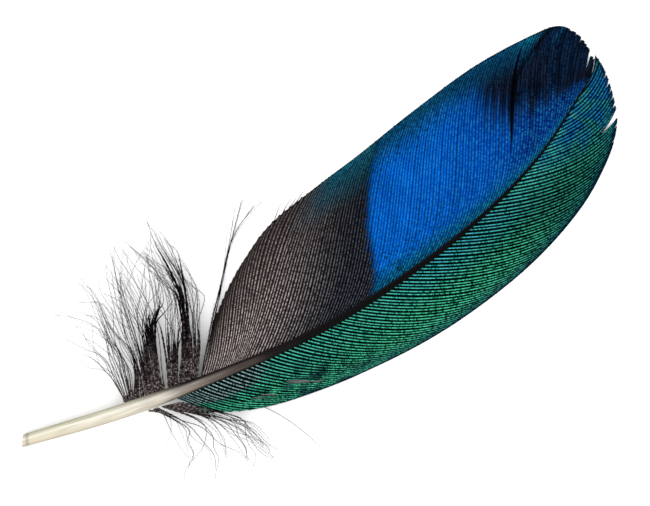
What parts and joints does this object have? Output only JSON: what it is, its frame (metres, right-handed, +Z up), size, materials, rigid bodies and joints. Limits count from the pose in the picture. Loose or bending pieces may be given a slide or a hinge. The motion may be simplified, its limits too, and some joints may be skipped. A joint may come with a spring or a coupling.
{
  "type": "peacock feather",
  "caption": "Loose peafowl wing feather with a bare hollow quill, a broad blue and brown vane, a narrow green vane and loose down at the base, lying flat.",
  "frame": {"origin": "on the surface that the feather lies on, under the middle of its box", "axes": "+X from the cut end of the quill to the tip, +Y towards the broad inner vane, +Z up, out of the feather's outer side"},
  "size_m": [0.132, 0.0542, 0.0071],
  "materials": {
    "shaft": "smooth horn, pale at the quill and black along the rachis",
    "inner_vane": "iridescent barbs, brown-black at the base and royal blue beyond",
    "outer_vane": "iridescent barbs, emerald green with dark gaps",
    "down": "matt dark down"
  },
  "bodies": {
    "root": {"shaft": "shaft", "inner_vane": "inner_vane", "outer_vane": "outer_vane", "inner_down": "down", "outer_down": "down"}
  },
  "joints": []
}
